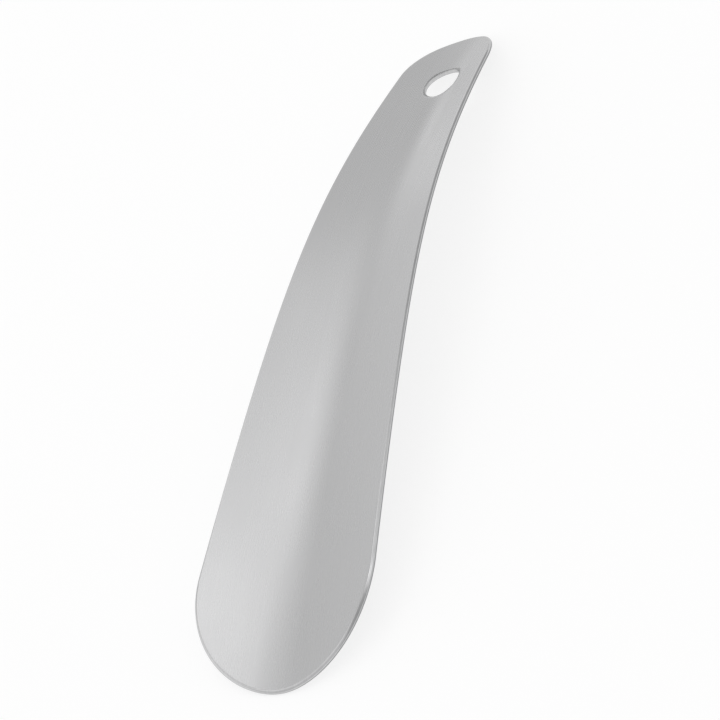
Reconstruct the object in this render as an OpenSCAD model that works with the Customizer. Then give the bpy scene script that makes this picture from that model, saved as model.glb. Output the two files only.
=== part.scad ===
// Pressed-steel shoehorn, one piece of sheet.
// The blank is a long tapered tongue with two round ends. It is curved twice:
// across, into a shallow trough with a soft fold along its middle that tightens
// towards the handle, and along, so that the handle leans back away from the trough.
// It lies on a surface with the trough facing up, resting on the backs of its
// two ends. X is across, +Y runs from the blade tip to the handle end, +Z is up.
// The origin is the centre of the bottom of the bounding box.

/* [Blank] */
// Length along the middle of the blank, blade tip to handle end
blank_len = 160; // [140:1:180]
// Width across the curve where the blade's round end begins
blade_w = 46.4; // [40:0.1:48]
// Width across the curve where the handle's round end begins
handle_w = 24.2; // [20:0.1:26]
// Length of the blade's round end
blade_round = 24.5; // [20:0.5:30]
// Length of the handle's round end
handle_round = 12.2; // [9:0.1:14]
// Power of the curve of both round ends, where 2 is an ellipse
round_power = 1.9; // [1.8:0.1:2.4]
// Thickness of the sheet
sheet_t = 0.9; // [0.8:0.1:1.2]

/* [Trough] */
// Radius across the blade of the soft fold along the middle
blade_fold_r = 43; // [36:1:60]
// Radius of the fold that the handle tends towards
handle_fold_r = 22.5; // [20:0.5:30]
// Distance from the blade tip to the middle of the change between the two
fold_change_at = 107; // [90:1:120]
// Distance over which most of the change happens
fold_change_len = 38; // [30:1:50]
// Distance across the blank from its middle line to where the fold eases into a wing
fold_half_w = 6; // [4:0.5:8]
// Curvature of the wings across the blank, as a share of the fold's
wing_share = 0.2; // [0.1:0.05:0.4]

/* [Lengthwise curve] */
// Radius of the gentle sweep of the whole length
sweep_r = 1080; // [800:10:2000]
// Tightest radius, at the neck
neck_r = 180; // [160:5:240]
// Distance from the blade tip to the neck
neck_at = 108; // [90:1:115]
// Distance over which the neck's bend dies away on each side
neck_spread = 35; // [28:1:44]

/* [Edge] */
// Width of the rounding ground on the front of the blade's edge
blade_edge_w = 0.7; // [0.4:0.1:1.2]
// Width of the rounding on the front of the handle's edge
handle_edge_w = 0.3; // [0.2:0.05:0.6]
// Distance from the blade tip at which the wider rounding has faded out
edge_fade_len = 70; // [50:1:90]
// Width of the rounding on the back of the edge, all the way round
back_edge_w = 0.2; // [0.1:0.05:0.4]
// Part of the thickness that the front rounding takes
front_edge_share = 0.6; // [0.5:0.05:0.65]

/* [Hanging hole] */
// Diameter of the hanging hole
hole_d = 8.5; // [6:0.1:9]
// Distance from the hole's centre to the handle end, along the blank
hole_from_end = 15.5; // [13:0.5:18]

/* [Hidden] */

steel_color = [0.76, 0.76, 0.77];

// Number of steps along each round end, along the sides and across a face
END_STEPS = 14;
SIDE_STEPS = 40;
FACE_STEPS = 12;
// Number of steps round the front and the back rounding of the edge
FRONT_EDGE_STEPS = 4;
BACK_EDGE_STEPS = 2;
// Number of steps in which the lengthwise curve is added up
CURVE_STEPS = 320;
HOLE_FN = 96;
// The hole's cutter reaches this far past both faces
CUT_PAST = 3;

DEG = 180 / PI;
curve_step = blank_len / CURVE_STEPS;

// ---- Lengthwise curve: curvature, slope and path of the blank's middle line

function curvature(s) =
    1 / sweep_r + (1 / neck_r - 1 / sweep_r) * exp(-pow((s - neck_at) / neck_spread, 2));

slopes = [
    for (
        i = 0, a = 0;
        i <= CURVE_STEPS;
        a = a + DEG * curve_step * curvature((i + 0.5) * curve_step), i = i + 1
    ) [i * curve_step, a]
];

function slope(s) = lookup(s, slopes);

path_y = [
    for (
        i = 0, y = 0;
        i <= CURVE_STEPS;
        y = y + curve_step * cos(slope((i + 0.5) * curve_step)), i = i + 1
    ) [i * curve_step, y]
];

path_z = [
    for (
        i = 0, z = 0;
        i <= CURVE_STEPS;
        z = z - curve_step * sin(slope((i + 0.5) * curve_step)), i = i + 1
    ) [i * curve_step, z]
];

// ---- Trough: an arc across the middle, and a much flatter arc on each wing

function fold_curvature(s) =
    1 / blade_fold_r
    + (1 / handle_fold_r - 1 / blade_fold_r) / (1 + exp(-2 * (s - fold_change_at) / fold_change_len));

// Angle across the blank, and place across and above its middle line, at v across
function trough(s, v) =
    let (
        fold_r = 1 / fold_curvature(s),
        wing_r = fold_r / wing_share,
        fold_part = min(abs(v), fold_half_w),
        fold_angle = DEG * fold_part / fold_r,
        angle = fold_angle + DEG * (abs(v) - fold_part) / wing_r,
        across = fold_r * sin(fold_angle) + wing_r * (sin(angle) - sin(fold_angle)),
        rise = fold_r * (1 - cos(fold_angle)) + wing_r * (cos(fold_angle) - cos(angle))
    )
    [sign(v) * angle, sign(v) * across, rise];

// Point of the sheet, s along the blank, v across it and w below the front face
function sheet_point(s, v, w) =
    let (
        section = trough(s, v),
        angle = section[0],
        lean = slope(s),
        rise = section[2],
        front = [section[1], lookup(s, path_y) + rise * sin(lean), lookup(s, path_z) + rise * cos(lean)],
        normal = [-sin(angle), cos(angle) * sin(lean), cos(angle) * cos(lean)]
    )
    front - w * normal;

// ---- Outline of the flat blank: [distance from the blade tip, half width]

function taper_half_w(s) =
    let (side_len = blank_len - blade_round - handle_round)
    (blade_w + (handle_w - blade_w) * (s - blade_round) / side_len) / 2;

function round_end(a) = [pow(cos(a), 2 / round_power), pow(sin(a), 2 / round_power)];

outline = concat(
    [for (i = [0 : END_STEPS - 1])
        let (q = round_end(90 * i / END_STEPS), s = blade_round * (1 - q[0]))
        [s, taper_half_w(s) * q[1]]],
    [for (i = [0 : SIDE_STEPS])
        let (s = blade_round + (blank_len - blade_round - handle_round) * i / SIDE_STEPS)
        [s, taper_half_w(s)]],
    [for (i = [END_STEPS - 1 : -1 : 0])
        let (q = round_end(90 * i / END_STEPS), s = blank_len - handle_round * (1 - q[0]))
        [s, taper_half_w(s) * q[1]]]
);
LAST = len(outline) - 1;

// Outward direction of the outline at point i, in the flat blank
function outline_normal(i) =
    i == 0 ? [-1, 0]
    : i == LAST ? [1, 0]
    : let (along = outline[i + 1] - outline[i - 1]) [-along[1], along[0]] / norm(along);

// Outline point i moved inwards by d
function inset_point(i, d) = outline[i] - d * outline_normal(i);

// ---- Edge: rings from the front face, round the edge, to the back face.
// Each ring is [part of the front rounding's width, part of the back one's, depth]

function fade(s) = s >= edge_fade_len ? 0 : (1 + cos(180 * s / edge_fade_len)) / 2;
function front_edge_w(s) = handle_edge_w + (blade_edge_w - handle_edge_w) * fade(s);

front_depth = front_edge_share * sheet_t;
back_depth = sheet_t - front_depth;
rings = concat(
    [for (k = [0 : FRONT_EDGE_STEPS])
        let (a = 90 * k / FRONT_EDGE_STEPS)
        [1 - sin(a), 0, front_depth * (1 - cos(a))]],
    [for (k = [1 : BACK_EDGE_STEPS])
        let (a = 90 * k / BACK_EDGE_STEPS)
        [0, 1 - cos(a), front_depth + back_depth * sin(a)]]
);
RING_LAST = len(rings) - 1;

// Width across and place along of ring k at outline point i
function ring_point(i, k) =
    inset_point(i, rings[k][0] * front_edge_w(outline[i][0]) + rings[k][1] * back_edge_w);

// One row of the section at outline point i: front face from left to right,
// the right edge, back face from right to left and the left edge
function section_row(i) =
    let (f = ring_point(i, 0), b = ring_point(i, RING_LAST))
    concat(
        [for (j = [0 : FACE_STEPS])
            sheet_point(f[0], f[1] * (2 * j / FACE_STEPS - 1), 0)],
        [for (k = [1 : RING_LAST - 1])
            let (e = ring_point(i, k)) sheet_point(e[0], e[1], rings[k][2])],
        [for (j = [0 : FACE_STEPS])
            sheet_point(b[0], b[1] * (1 - 2 * j / FACE_STEPS), sheet_t)],
        [for (k = [RING_LAST - 1 : -1 : 1])
            let (e = ring_point(i, k)) sheet_point(e[0], -e[1], rings[k][2])]
    );

// ---- Placing: tilted to rest on both ends, with the origin under the middle

tilt = let (
        tip = sheet_point(0, 0, sheet_t),
        end = sheet_point(blank_len, 0, sheet_t)
    )
    atan2(end.z - tip.z, end.y - tip.y);

function tilted(p) =
    [p.x, p.y * cos(tilt) + p.z * sin(tilt), p.z * cos(tilt) - p.y * sin(tilt)];

sections = [for (i = [1 : LAST - 1]) [for (p = section_row(i)) tilted(p)]];
tip_column = [for (k = [0 : RING_LAST]) tilted(sheet_point(ring_point(0, k)[0], 0, rings[k][2]))];
end_column = [for (k = [0 : RING_LAST]) tilted(sheet_point(ring_point(LAST, k)[0], 0, rings[k][2]))];

all_points = concat([for (row = sections) each row], tip_column, end_column);
all_y = [for (p = all_points) p.y];
shift = [0, -(min(all_y) + max(all_y)) / 2, -min([for (p = all_points) p.z])];

// ---- Faces of the sheet, each wound clockwise as seen from outside

COUNT = len(sections[0]);
ROWS = len(sections);
TIP_AT = COUNT * ROWS;
END_AT = TIP_AT + RING_LAST + 1;

function at(row, j) = COUNT * row + (j % COUNT);

// Index of the ring that point j of a section belongs to, on the right or the left
BACK_RIGHT = FACE_STEPS + RING_LAST;
BACK_LEFT = BACK_RIGHT + FACE_STEPS;
function ring_of(j) =
    j <= FACE_STEPS ? 0
    : j < BACK_RIGHT ? j - FACE_STEPS
    : j <= BACK_LEFT ? RING_LAST
    : RING_LAST - (j - BACK_LEFT);

side_faces = [
    for (row = [0 : ROWS - 2], j = [0 : COUNT - 1])
        each [
            [at(row, j), at(row + 1, j), at(row + 1, j + 1)],
            [at(row, j), at(row + 1, j + 1), at(row, j + 1)]
        ]
];

// A round end closes onto its column of points: a fan for each ring
function cap_faces(row, column) = [
    for (j = [0 : COUNT - 1])
        let (a = ring_of(j), b = ring_of((j + 1) % COUNT))
        each concat(
            [[at(row, j), at(row, j + 1), column + b]],
            a == b ? [] : [[at(row, j), column + b, column + a]]
        )
];

function reversed(face) = [face[0], face[2], face[1]];

all_faces = concat(
    side_faces,
    cap_faces(0, TIP_AT),
    [for (face = cap_faces(ROWS - 1, END_AT)) reversed(face)]
);

module sheet() {
    polyhedron(points = [for (p = all_points) p + shift], faces = all_faces, convexity = 4);
}

hole_s = blank_len - hole_from_end;
hole_middle = tilted(sheet_point(hole_s, 0, sheet_t / 2)) + shift;
// Angle by which the hole's axis leans from +Z towards +Y
hole_lean = slope(hole_s) + tilt;

module hanging_hole() {
    translate(hole_middle)
        rotate([-hole_lean, 0, 0])
            cylinder(h = sheet_t + 2 * CUT_PAST, d = hole_d, center = true, $fn = HOLE_FN);
}

module shoehorn_blade() {
    color(steel_color)
        difference() {
            sheet();
            hanging_hole();
        }
}

shoehorn_blade();
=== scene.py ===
import math
from collections import namedtuple

import bmesh
import bpy
import numpy as np
from mathutils import Matrix, Vector


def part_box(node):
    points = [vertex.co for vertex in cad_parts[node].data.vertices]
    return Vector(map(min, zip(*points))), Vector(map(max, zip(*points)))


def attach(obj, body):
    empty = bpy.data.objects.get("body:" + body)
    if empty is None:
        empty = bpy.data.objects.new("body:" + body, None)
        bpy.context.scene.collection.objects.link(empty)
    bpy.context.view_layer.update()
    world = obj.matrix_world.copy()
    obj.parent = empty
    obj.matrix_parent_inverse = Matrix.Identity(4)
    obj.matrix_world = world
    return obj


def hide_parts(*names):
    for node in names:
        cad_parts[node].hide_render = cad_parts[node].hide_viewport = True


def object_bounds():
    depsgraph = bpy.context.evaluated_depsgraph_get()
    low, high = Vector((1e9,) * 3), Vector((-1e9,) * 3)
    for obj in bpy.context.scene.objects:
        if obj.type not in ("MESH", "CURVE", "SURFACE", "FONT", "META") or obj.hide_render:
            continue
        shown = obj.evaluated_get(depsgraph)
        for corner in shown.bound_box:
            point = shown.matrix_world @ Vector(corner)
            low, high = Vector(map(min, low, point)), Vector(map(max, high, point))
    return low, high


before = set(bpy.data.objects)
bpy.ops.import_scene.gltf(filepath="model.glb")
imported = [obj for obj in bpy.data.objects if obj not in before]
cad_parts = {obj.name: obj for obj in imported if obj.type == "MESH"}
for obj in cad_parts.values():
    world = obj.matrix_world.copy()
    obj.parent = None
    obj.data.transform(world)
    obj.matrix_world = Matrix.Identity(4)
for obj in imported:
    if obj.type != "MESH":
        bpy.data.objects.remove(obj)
cad_low, cad_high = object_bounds()

NODE = "shoehorn_blade"
MM = 0.001

# ---- Driving dimensions of the pressed sheet, in metres, as in the CAD model

# The flat blank: a taper with two round ends
BLANK_LEN = 160 * MM
BLADE_W = 46.4 * MM
HANDLE_W = 24.2 * MM
BLADE_ROUND = 24.5 * MM
HANDLE_ROUND = 12.2 * MM
ROUND_POWER = 1.9
SHEET_T = 0.9 * MM

# The fold across it: a tight middle between two flatter wings
BLADE_FOLD_R = 43 * MM
HANDLE_FOLD_R = 22.5 * MM
FOLD_CHANGE_AT = 107 * MM
FOLD_CHANGE_LEN = 38 * MM
FOLD_HALF_W = 6 * MM
WING_SHARE = 0.2

# The bend along it: a slight sweep, and more of a bend at the neck
SWEEP_R = 1080 * MM
NECK_R = 180 * MM
NECK_AT = 108 * MM
NECK_SPREAD = 35 * MM

# The rounded edges
BLADE_EDGE_W = 0.7 * MM
HANDLE_EDGE_W = 0.3 * MM
EDGE_FADE_LEN = 70 * MM
BACK_EDGE_W = 0.2 * MM
FRONT_EDGE_SHARE = 0.6

# The hanging hole
HOLE_R = 4.25 * MM
HOLE_FROM_END = 15.5 * MM
HOLE_S = BLANK_LEN - HOLE_FROM_END
HOLE_EDGE_W = 0.1 * MM

# ---- Camera: narrow lens, from the blade's right, above it and rolled

# Azimuth from -Y towards +X
CAMERA_AZIMUTH = math.radians(53.656)
CAMERA_ELEVATION = math.radians(37.026)
CAMERA_ROLL = math.radians(49.364)
CAMERA_DISTANCE = 0.5885
CAMERA_LENS = 146.14
CLIP_START = 0.01
CLIP_END = 50
# Where the camera looks, from the middle of the CAD box
AIM_OFFSET = Vector((1.683, -7.035, -0.999)) * MM


def make_camera():
    """The camera looks at a point near the object's centre, turned about its own line of sight."""
    away = Vector((
        math.sin(CAMERA_AZIMUTH) * math.cos(CAMERA_ELEVATION),
        -math.cos(CAMERA_AZIMUTH) * math.cos(CAMERA_ELEVATION),
        math.sin(CAMERA_ELEVATION),
    ))
    level = Vector((0, 0, 1)).cross(away).normalized()
    upright = away.cross(level)
    right = level * math.cos(CAMERA_ROLL) - upright * math.sin(CAMERA_ROLL)
    up = upright * math.cos(CAMERA_ROLL) + level * math.sin(CAMERA_ROLL)
    data = bpy.data.cameras.new("camera")
    data.lens = CAMERA_LENS
    data.clip_start = CLIP_START
    data.clip_end = CLIP_END
    camera = bpy.data.objects.new("camera", data)
    centre = (cad_low + cad_high) / 2
    place = centre + AIM_OFFSET + away * CAMERA_DISTANCE
    turn = Matrix((right, up, away)).transposed().to_4x4()
    camera.matrix_world = Matrix.Translation(place) @ turn
    bpy.context.scene.collection.objects.link(camera)
    bpy.context.scene.camera = camera


make_camera()

# ---- Form of the sheet: s runs along the blank, v across it, and w down from its front face

CURVE_STEPS = 640
CURVE_STEP = BLANK_LEN / CURVE_STEPS


def bend(s):
    """Curvature along the middle of the blank."""
    neck = np.exp(-(((s - NECK_AT) / NECK_SPREAD) ** 2))
    return 1 / SWEEP_R + (1 / NECK_R - 1 / SWEEP_R) * neck


def running_sum(values):
    """The values added up step by step along the blank, from 0 at the blade's tip."""
    return np.concatenate([[0.0], np.cumsum(values * CURVE_STEP)])


# The curve of the blank's middle: its slope, and its place in the Y-Z plane
curve_s = np.linspace(0, BLANK_LEN, CURVE_STEPS + 1)
curve_lean = running_sum(bend(curve_s[:-1] + CURVE_STEP / 2))
middle_lean = (curve_lean[1:] + curve_lean[:-1]) / 2
curve_y = running_sum(np.cos(middle_lean))
curve_z = running_sum(-np.sin(middle_lean))


def fold_curvature(s):
    """Curvature across the middle of the blank, changing smoothly from blade to handle."""
    change = 1 / (1 + np.exp(-2 * (s - FOLD_CHANGE_AT) / FOLD_CHANGE_LEN))
    return 1 / BLADE_FOLD_R + (1 / HANDLE_FOLD_R - 1 / BLADE_FOLD_R) * change


def untilted_point(s, v, w):
    """Point of the bent sheet, before it is laid down on its back."""
    fold_r = 1 / fold_curvature(s)
    wing_r = fold_r / WING_SHARE
    out = np.abs(v)
    fold_angle = np.minimum(out, FOLD_HALF_W) / fold_r
    angle = fold_angle + np.maximum(out - FOLD_HALF_W, 0) / wing_r
    across = fold_r * np.sin(fold_angle) + wing_r * (np.sin(angle) - np.sin(fold_angle))
    rise = fold_r * (1 - np.cos(fold_angle)) + wing_r * (np.cos(fold_angle) - np.cos(angle))
    side = np.sign(v)
    lean = np.interp(s, curve_s, curve_lean)
    front = np.stack([
        side * across,
        np.interp(s, curve_s, curve_y) + rise * np.sin(lean),
        np.interp(s, curve_s, curve_z) + rise * np.cos(lean),
    ], axis=-1)
    normal = np.stack([
        -side * np.sin(angle),
        np.cos(angle) * np.sin(lean),
        np.cos(angle) * np.cos(lean),
    ], axis=-1)
    return front - normal * np.asarray(w)[..., None]


def resting_tilt():
    """Angle by which the line from the back of the tip to the back of the end slopes."""
    ends = untilted_point(np.array([0, BLANK_LEN]), np.zeros(2), np.full(2, SHEET_T))
    run = ends[1] - ends[0]
    return math.atan2(run[2], run[1])


TILT = resting_tilt()


def sheet_point(s, v, w):
    """Point of the sheet as it lies on its back."""
    p = untilted_point(np.asarray(s, float), np.asarray(v, float), np.asarray(w, float))
    y = p[..., 1] * math.cos(TILT) + p[..., 2] * math.sin(TILT)
    z = p[..., 2] * math.cos(TILT) - p[..., 1] * math.sin(TILT)
    return np.stack([p[..., 0], y, z], axis=-1)


# ---- Outline of the blank and the sections of its edges

END_STEPS = 40
SIDE_STEPS = 150
FRONT_EDGE_STEPS = 7
BACK_EDGE_STEPS = 4
HOLE_EDGE_STEPS = 4


def taper_half_w(s):
    """Half width of the blank between its straight sides, carried on past them."""
    side_len = BLANK_LEN - BLADE_ROUND - HANDLE_ROUND
    return (BLADE_W + (HANDLE_W - BLADE_W) * (s - BLADE_ROUND) / side_len) / 2


def outline():
    """The right half of the flat blank's outline, tip to end: places along, and half widths."""
    a = np.linspace(0, math.pi / 2, END_STEPS + 1)[:-1]
    away = np.cos(a) ** (2 / ROUND_POWER)
    share = np.sin(a) ** (2 / ROUND_POWER)
    tip_s = BLADE_ROUND * (1 - away)
    side_s = np.linspace(BLADE_ROUND, BLANK_LEN - HANDLE_ROUND, SIDE_STEPS + 1)
    end_s = (BLANK_LEN - HANDLE_ROUND * (1 - away))[::-1]
    s = np.concatenate([tip_s, side_s, end_s])
    half = taper_half_w(s) * np.concatenate([share, np.ones(len(side_s)), share[::-1]])
    return np.stack([s, half], axis=-1)


def outline_normals(line):
    """Outward direction of the outline in the flat blank, at each of its points."""
    along = np.zeros_like(line)
    along[1:-1] = line[2:] - line[:-2]
    along[0] = (0, 1)
    along[-1] = (0, -1)
    along /= np.linalg.norm(along, axis=1, keepdims=True)
    return np.stack([-along[:, 1], along[:, 0]], axis=-1)


def front_edge_w(s):
    """Width of the front rounding, which narrows from the blade's tip up the sides."""
    fade = np.where(s < EDGE_FADE_LEN, (1 + np.cos(math.pi * s / EDGE_FADE_LEN)) / 2, 0)
    return HANDLE_EDGE_W + (BLADE_EDGE_W - HANDLE_EDGE_W) * fade


def edge_profile():
    """Rows round an edge: share of the front rounding's width, of the back's, and depth."""
    front_depth = FRONT_EDGE_SHARE * SHEET_T
    back_depth = SHEET_T - front_depth
    front_turn = np.linspace(0, math.pi / 2, FRONT_EDGE_STEPS + 1)
    back_turn = np.linspace(0, math.pi / 2, BACK_EDGE_STEPS + 1)[1:]
    rows = [(1 - math.sin(t), 0.0, front_depth * (1 - math.cos(t))) for t in front_turn]
    rows += [(0.0, 1 - math.cos(t), front_depth + back_depth * math.sin(t)) for t in back_turn]
    return rows


def edge_rows(line):
    """The outline drawn in to each row of the edge profile, with that row's depth."""
    normals = outline_normals(line)
    widths = front_edge_w(line[:, 0])
    rows = []
    for front, back, depth in edge_profile():
        inset = front * widths + back * BACK_EDGE_W
        rows.append((line - normals * inset[:, None], depth))
    return rows


def hole_profile():
    """Rows down the hole's wall: how far each one stands back from the bore, and its depth."""
    turn = np.linspace(0, math.pi / 2, HOLE_EDGE_STEPS + 1)
    back = HOLE_EDGE_W * (1 - np.sin(turn))
    depth = HOLE_EDGE_W * (1 - np.cos(turn))
    return list(zip(back, depth)) + list(zip(back[::-1], SHEET_T - depth[::-1]))


# ---- Mesh of the sheet

FACE_STEPS = 52
HOLE_BLEND_STEPS = 7
# The hole's patch of the face grid: half its length, and its half width as a share of the face's
PATCH_HALF_LEN = 7.5 * MM
PATCH_SHARE = 0.66
# The middle of the blank in its flat layout
FLAT_MIDDLE = 0.5
# Points nearer than this are one point
WELD_DISTANCE = 0.0005 * MM
# How much the large faces count in the shading where they meet small ones, from 1 to 100
FACE_SHADING_WEIGHT = 70

FACE_KIND = 0
ROUND_KIND = 1
CUT_KIND = 2


class SheetMesh:
    """Points with their flat place (across, along) and depth, and faces with their material."""

    def __init__(self):
        self.flat = []
        self.depth = []
        self.count = 0
        self.faces = []
        self.kinds = []

    def add_points(self, s, v, w):
        """Adds a grid of points and returns the grid of their numbers."""
        s, v, w = np.broadcast_arrays(s, v, w)
        self.flat.append(np.stack([v.ravel(), s.ravel()], axis=-1))
        self.depth.append(w.ravel())
        numbers = np.arange(self.count, self.count + s.size).reshape(s.shape)
        self.count += s.size
        return numbers

    def add_grid(self, numbers, kind, flipped=False, skip=None):
        """Quads between neighbouring rows and columns of numbers, without the cells in skip."""
        a = numbers[:-1, :-1]
        b = numbers[:-1, 1:]
        c = numbers[1:, 1:]
        d = numbers[1:, :-1]
        quads = np.stack([a, d, c, b] if flipped else [a, b, c, d], axis=-1)
        if skip is not None:
            keep = np.ones(quads.shape[:2], bool)
            keep[skip] = False
            quads = quads[keep]
        quads = quads.reshape(-1, 4)
        self.faces.append(quads)
        self.kinds.append(np.full(len(quads), kind))

    def add_loops(self, loops, kind, flipped=False):
        """Quads between neighbouring closed loops of numbers."""
        numbers = np.stack(loops, axis=1)
        self.add_grid(np.concatenate([numbers, numbers[:1]]), kind, flipped=flipped)


def hole_block(line):
    """First and last row, and first and last column, of the face grid's block for the hole."""
    first_row = int(np.searchsorted(line[:, 0], HOLE_S - PATCH_HALF_LEN))
    last_row = int(np.searchsorted(line[:, 0], HOLE_S + PATCH_HALF_LEN))
    first_column = int(round(FACE_STEPS * (1 - PATCH_SHARE) / 2))
    return (first_row, last_row), (first_column, FACE_STEPS - first_column)


def block_border(numbers, block):
    """The numbers round the border of a block of the grid, counter-clockwise from above."""
    (r0, r1), (c0, c1) = block
    return np.concatenate([
        numbers[r0, c0:c1],
        numbers[r0:r1, c1],
        numbers[r1, c1:c0:-1],
        numbers[r1:r0:-1, c0],
    ])


def add_faces(sheet, rows, block):
    """The front and the back face, each without the hole's block."""
    across = np.linspace(-1, 1, FACE_STEPS + 1)
    front_line = rows[0][0]
    back_line = rows[-1][0]
    front = sheet.add_points(front_line[:, :1], front_line[:, 1:] * across, 0.0)
    back = sheet.add_points(back_line[:, :1], back_line[:, 1:] * across, SHEET_T)
    cells = tuple(slice(*ends) for ends in block)
    sheet.add_grid(front, FACE_KIND, skip=cells)
    sheet.add_grid(back, FACE_KIND, flipped=True, skip=cells)
    return front, back


def add_edges(sheet, rows, front, back):
    """Both long edges, front to back: the front rounding is polished, and the rest is as cut."""
    for side, border in ((1, -1), (-1, 0)):
        columns = [front[:, border]]
        for points, depth in rows[1:-1]:
            columns.append(sheet.add_points(points[:, 0], side * points[:, 1], depth))
        columns.append(back[:, border])
        numbers = np.stack(columns, axis=1)
        flipped = side < 0
        sheet.add_grid(numbers[:, :FRONT_EDGE_STEPS + 1], ROUND_KIND, flipped=flipped)
        sheet.add_grid(numbers[:, FRONT_EDGE_STEPS:], CUT_KIND, flipped=flipped)


def add_hole(sheet, front, back, block):
    """The hole's wall with its two small roundings, and its patch of each face."""
    flat = np.concatenate(sheet.flat)
    front_border = block_border(front, block)
    back_border = block_border(back, block)
    angles = np.arctan2(flat[front_border, 1] - HOLE_S, flat[front_border, 0])
    rings = []
    for stand_back, depth in hole_profile():
        radius = HOLE_R + stand_back
        s = HOLE_S + radius * np.sin(angles)
        rings.append(sheet.add_points(s, radius * np.cos(angles), depth))
    sheet.add_loops(rings, ROUND_KIND)

    rim = HOLE_R + HOLE_EDGE_W
    circle = np.stack([rim * np.cos(angles), HOLE_S + rim * np.sin(angles)], axis=-1)
    for border, ring, depth, flipped in (
        (front_border, rings[0], 0.0, True),
        (back_border, rings[-1], SHEET_T, False),
    ):
        loops = [border]
        for t in np.linspace(0, 1, HOLE_BLEND_STEPS + 1)[1:-1]:
            place = flat[border] * (1 - t) + circle * t
            loops.append(sheet.add_points(place[:, 1], place[:, 0], depth))
        loops.append(ring)
        sheet.add_loops(loops, FACE_KIND, flipped=flipped)


def build_sheet():
    """The whole sheet as points and faces."""
    sheet = SheetMesh()
    line = outline()
    rows = edge_rows(line)
    block = hole_block(line)
    front, back = add_faces(sheet, rows, block)
    add_edges(sheet, rows, front, back)
    add_hole(sheet, front, back, block)
    return sheet


def seat_on_node(points):
    """Moves the points along Y and Z to where the CAD node lies."""
    low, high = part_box(NODE)
    middle_y = (points[:, 1].min() + points[:, 1].max()) / 2
    points[:, 1] += (low.y + high.y) / 2 - middle_y
    points[:, 2] += low.z - points[:, 2].min()


def weld(mesh):
    """Joins the points that fall together at the blade's tip and the handle's end."""
    work = bmesh.new()
    work.from_mesh(mesh)
    bmesh.ops.remove_doubles(work, verts=work.verts, dist=WELD_DISTANCE)
    bmesh.ops.dissolve_degenerate(work, edges=work.edges, dist=WELD_DISTANCE)
    work.to_mesh(mesh)
    work.free()
    mesh.validate()


def make_shoehorn():
    """The sheet as a smooth mesh, with its flat layout for the brushing."""
    sheet = build_sheet()
    flat = np.concatenate(sheet.flat)
    points = sheet_point(flat[:, 1], flat[:, 0], np.concatenate(sheet.depth))
    seat_on_node(points)

    faces = np.concatenate(sheet.faces)
    kinds = np.concatenate(sheet.kinds)
    mesh = bpy.data.meshes.new("shoehorn_sheet")
    mesh.from_pydata(points.tolist(), [], faces.tolist())
    mesh.polygons.foreach_set("material_index", kinds.astype(np.int32))
    mesh.polygons.foreach_set("use_smooth", np.ones(len(faces), bool))

    # Flat place across and along the blank, both as a share of its length
    flat_uv = mesh.uv_layers.new(name="flat")
    place = flat[faces.ravel()] / BLANK_LEN
    place[:, 0] += FLAT_MIDDLE
    flat_uv.data.foreach_set("uv", place.ravel())

    weld(mesh)
    piece = bpy.data.objects.new("shoehorn_sheet", mesh)
    bpy.context.scene.collection.objects.link(piece)
    # The large flat faces keep their own shading up to the roundings
    normals = piece.modifiers.new("normals", "WEIGHTED_NORMAL")
    normals.weight = FACE_SHADING_WEIGHT
    return piece


# ---- Materials

POLISHED_STEEL = (0.575, 0.575, 0.58)
# Colour of the cut wall: partly its duller cut steel, and partly painted shade that darkens it
# further
CUT_STEEL_WITH_PAINTED_SHADE = (0.32, 0.32, 0.324)
DARK_STREAK = (0.571, 0.571, 0.576)
LIGHT_STREAK = (0.585, 0.585, 0.589)
# How far the marks on an edge lighten and darken its steel
EDGE_CONTRAST = 0.06
# Share of the fine streaks in the brushing, and the broad ones have the rest
FINE_SHARE = 0.6
# Steel reflects less at a glancing angle than the shader's own curve says
GLANCING_TINT = (0.8, 0.8, 0.8, 1)
# Most values of a noise lie between these
NOISE_LOW = 0.3
NOISE_HIGH = 0.7
# Sockets of the Mix node when it mixes colours
MIX_FACTOR = 0
MIX_FIRST = 6
MIX_SECOND = 7
MIX_RESULT = 2


class Nodes:
    """Short calls for building a node tree."""

    def __init__(self, tree):
        self.tree = tree
        tree.nodes.clear()

    def add(self, kind, **settings):
        node = self.tree.nodes.new(kind)
        for name, value in settings.items():
            setattr(node, name, value)
        return node

    def link(self, out, into):
        self.tree.links.new(out, into)

    def math(self, operation, *inputs):
        node = self.add("ShaderNodeMath", operation=operation)
        for socket, value in zip(node.inputs, inputs):
            if isinstance(value, (int, float)):
                socket.default_value = value
            else:
                self.link(value, socket)
        return node.outputs[0]


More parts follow.
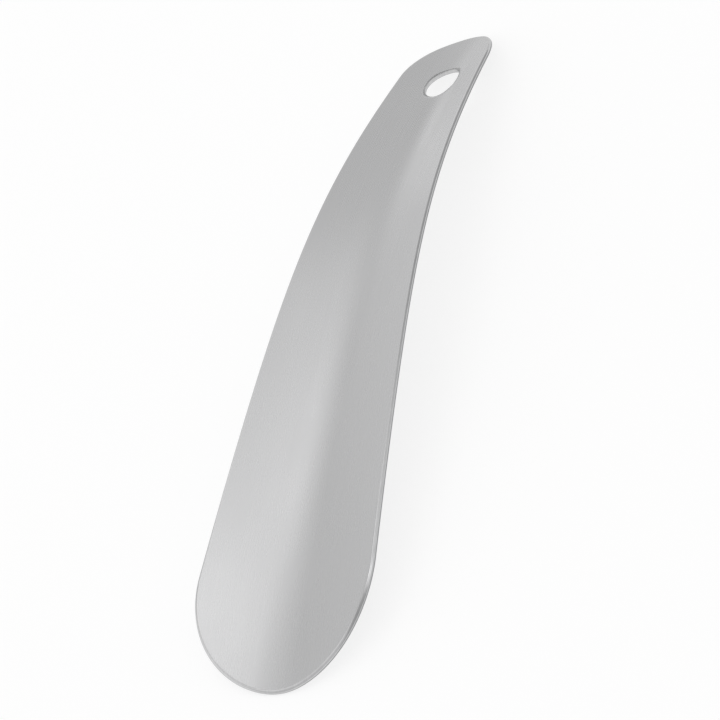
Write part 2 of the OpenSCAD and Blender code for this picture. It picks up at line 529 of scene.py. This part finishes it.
class Steel(Nodes):
    """A bare steel material, laid out on the flat blank."""

    def __init__(self, name):
        self.material = bpy.data.materials.new(name)
        self.material.use_nodes = True
        super().__init__(self.material.node_tree)
        self.flat = self.add("ShaderNodeUVMap", uv_map="flat").outputs["UV"]
        self.shader = self.add("ShaderNodeBsdfPrincipled")
        self.shader.inputs["Metallic"].default_value = 1
        self.shader.inputs["Specular Tint"].default_value = GLANCING_TINT
        out = self.add("ShaderNodeOutputMaterial")
        self.link(self.shader.outputs[0], out.inputs["Surface"])

    def grain(self, across, along, detail):
        """Noise whose grains are this big across and along the blank, in metres."""
        stretch = self.add("ShaderNodeVectorMath", operation="MULTIPLY")
        stretch.inputs[1].default_value = (BLANK_LEN / across, BLANK_LEN / along, 1)
        self.link(self.flat, stretch.inputs[0])
        noise = self.add("ShaderNodeTexNoise")
        noise.inputs["Scale"].default_value = 1
        noise.inputs["Detail"].default_value = detail
        self.link(stretch.outputs[0], noise.inputs["Vector"])
        return noise.outputs["Fac"]

    def spread(self, noise, low, high):
        """A noise's usual range of values, spread from low to high."""
        node = self.add("ShaderNodeMapRange")
        node.inputs["From Min"].default_value = NOISE_LOW
        node.inputs["From Max"].default_value = NOISE_HIGH
        node.inputs["To Min"].default_value = low
        node.inputs["To Max"].default_value = high
        self.link(noise, node.inputs["Value"])
        return node.outputs["Result"]

    def colour(self, noise, dark, light):
        """Colours the steel from dark to light by a noise."""
        mix = self.add("ShaderNodeMix", data_type="RGBA")
        mix.inputs[MIX_FIRST].default_value = (*dark, 1)
        mix.inputs[MIX_SECOND].default_value = (*light, 1)
        self.link(self.spread(noise, 0, 1), mix.inputs[MIX_FACTOR])
        self.link(mix.outputs[MIX_RESULT], self.shader.inputs["Base Color"])

    def relief(self, height, strength, depth):
        """Gives the surface fine marks of this depth, in metres."""
        bump = self.add("ShaderNodeBump")
        bump.inputs["Strength"].default_value = strength
        bump.inputs["Distance"].default_value = depth
        self.link(height, bump.inputs["Height"])
        self.link(bump.outputs["Normal"], self.shader.inputs["Normal"])


def satin_steel():
    """Faces brushed lengthwise: fine and broad streaks, and slow changes of polish."""
    steel = Steel("satin_steel")
    fine = steel.grain(across=0.12 * MM, along=9 * MM, detail=3)
    broad = steel.grain(across=0.9 * MM, along=30 * MM, detail=2)
    cloud = steel.grain(across=9 * MM, along=16 * MM, detail=2)
    fine_part = steel.math("MULTIPLY", fine, FINE_SHARE)
    broad_part = steel.math("MULTIPLY", broad, 1 - FINE_SHARE)
    streaks = steel.math("ADD", fine_part, broad_part)
    steel.colour(streaks, DARK_STREAK, LIGHT_STREAK)
    steel.relief(streaks, strength=0.25, depth=0.0002 * MM)

    streak_polish = steel.spread(fine, low=0.262, high=0.288)
    slow_polish = steel.spread(cloud, low=-0.012, high=0.012)
    roughness = steel.math("ADD", streak_polish, slow_polish)
    steel.link(roughness, steel.shader.inputs["Roughness"])
    steel.shader.inputs["Anisotropic"].default_value = 0.7
    tangent = steel.add("ShaderNodeTangent", direction_type="UV_MAP", uv_map="flat")
    steel.link(tangent.outputs["Tangent"], steel.shader.inputs["Tangent"])
    return steel.material


def edge_steel(name, colour, across, along, smooth, rough):
    """The steel of an edge, with marks this big across and along the blank."""
    steel = Steel(name)
    marks = steel.grain(across, along, detail=3)
    dark = [part * (1 - EDGE_CONTRAST) for part in colour]
    light = [part * (1 + EDGE_CONTRAST) for part in colour]
    steel.colour(marks, dark, light)
    steel.relief(marks, strength=0.3, depth=0.001 * MM)
    steel.link(steel.spread(marks, smooth, rough), steel.shader.inputs["Roughness"])
    return steel.material


def polished_rounding():
    """Bright roundings, with faint marks that run along them."""
    return edge_steel(
        "polished_rounding", POLISHED_STEEL, across=0.3 * MM, along=3 * MM, smooth=0.08, rough=0.12)


def cut_edge():
    """The duller cut wall, also painted darker as shade, with short marks that run through the
    sheet.
    """
    return edge_steel(
        "cut_edge", CUT_STEEL_WITH_PAINTED_SHADE, across=1.2 * MM, along=0.25 * MM, smooth=0.3, rough=0.42)


shoehorn = make_shoehorn()
# In the order of the face, rounding and cut kinds
for material in (satin_steel(), polished_rounding(), cut_edge()):
    shoehorn.data.materials.append(material)
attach(shoehorn, "root")
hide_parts(NODE)

# ---- Studio: a pale floor and a soft surrounding light

FLOOR_HALF = 6
# The floor lies this far below the object
FLOOR_GAP = 0.05 * MM
FLOOR_COLOUR = (0.3, 0.3, 0.3, 1)
FLOOR_ROUGHNESS = 0.9
FLOOR_SHEEN = 0.1
FLOOR_GLOW = 0.75
WHITE = (1, 1, 1, 1)


def make_floor():
    """A plain pale floor. It owes much of its brightness to a glow, which keeps shadows faint."""
    mesh = bpy.data.meshes.new("floor")
    half = FLOOR_HALF
    corners = [(-half, -half, 0), (half, -half, 0), (half, half, 0), (-half, half, 0)]
    mesh.from_pydata(corners, [], [(0, 1, 2, 3)])
    floor = bpy.data.objects.new("floor", mesh)
    floor.location.z = cad_low.z - FLOOR_GAP
    bpy.context.scene.collection.objects.link(floor)
    material = bpy.data.materials.new("floor")
    material.use_nodes = True
    shader = material.node_tree.nodes["Principled BSDF"]
    shader.inputs["Base Color"].default_value = FLOOR_COLOUR
    shader.inputs["Roughness"].default_value = FLOOR_ROUGHNESS
    shader.inputs["Specular IOR Level"].default_value = FLOOR_SHEEN
    shader.inputs["Emission Color"].default_value = WHITE
    shader.inputs["Emission Strength"].default_value = FLOOR_GLOW
    mesh.materials.append(material)


# Even light from all round
BASE_LIGHT = 0.5

# A round soft panel: azimuth of its middle from +Y towards +X, elevation of its middle, half
# width, softness of its border (all in degrees), and how much light it adds
Panel = namedtuple("Panel", "azimuth elevation half_width softness light")

PANELS = [
    # High on the left: two small lamps in front of a broad panel
    Panel(-70, 70, 4, 3.5, 1.8),
    Panel(-63.5, 53.5, 4, 3, 0.95),
    Panel(-79.5, 60, 24, 12, 0.36),
    # Left of the handle, from low to half way up
    Panel(-65.5, 8, 21, 3, 0.47),
    Panel(-29, 40.5, 23.5, 6, 0.28),
    Panel(-48, 9, 7, 3, 0.31),
    # Beyond the end of the handle, low
    Panel(-20, -10, 31, 3, 0.35),
    # Left of the blade, low
    Panel(-140.5, 7, 60, 5.5, 0.26),
    Panel(-107, 15, 23, 3, 0.32),
    # A dark flag high on the left, which takes light away
    Panel(-112, 66, 9, 4, -0.42),
    # Two wide soft glows: high on the right, and overhead
    Panel(76.5, 56, 4, 27, 1.8),
    Panel(35, 80, 4, 20, 1.3),
    # Low on the right
    Panel(77.5, 24.5, 20.5, 5, 0.3),
    Panel(62, 9, 6, 4, 0.35),
]


def direction(azimuth, elevation):
    """Unit vector towards a place in the sky, given in degrees."""
    a = math.radians(azimuth)
    e = math.radians(elevation)
    return math.sin(a) * math.cos(e), math.cos(a) * math.cos(e), math.sin(e)


def panel_light(nodes, ray, panel):
    """The light that a panel adds in the direction of the ray."""
    dot = nodes.add("ShaderNodeVectorMath", operation="DOT_PRODUCT")
    dot.inputs[1].default_value = direction(panel.azimuth, panel.elevation)
    nodes.link(ray, dot.inputs[0])
    apart = nodes.math("ARCCOSINE", dot.outputs["Value"])
    step = nodes.add("ShaderNodeMapRange", interpolation_type="SMOOTHSTEP")
    step.inputs["From Min"].default_value = math.radians(panel.half_width + panel.softness)
    step.inputs["From Max"].default_value = math.radians(panel.half_width - panel.softness)
    step.inputs["To Min"].default_value = 0
    step.inputs["To Max"].default_value = panel.light
    nodes.link(apart, step.inputs["Value"])
    return step.outputs["Result"]


def make_world():
    """The even light with the panels added to it."""
    world = bpy.data.worlds.new("studio")
    bpy.context.scene.world = world
    world.use_nodes = True
    nodes = Nodes(world.node_tree)
    ray = nodes.add("ShaderNodeTexCoord").outputs["Generated"]
    total = BASE_LIGHT
    for panel in PANELS:
        total = nodes.math("ADD", total, panel_light(nodes, ray, panel))
    background = nodes.add("ShaderNodeBackground")
    background.inputs["Color"].default_value = WHITE
    nodes.link(total, background.inputs["Strength"])
    out = nodes.add("ShaderNodeOutputWorld")
    nodes.link(background.outputs[0], out.inputs["Surface"])


make_floor()
make_world()
bpy.context.scene.view_settings.view_transform = "Standard"
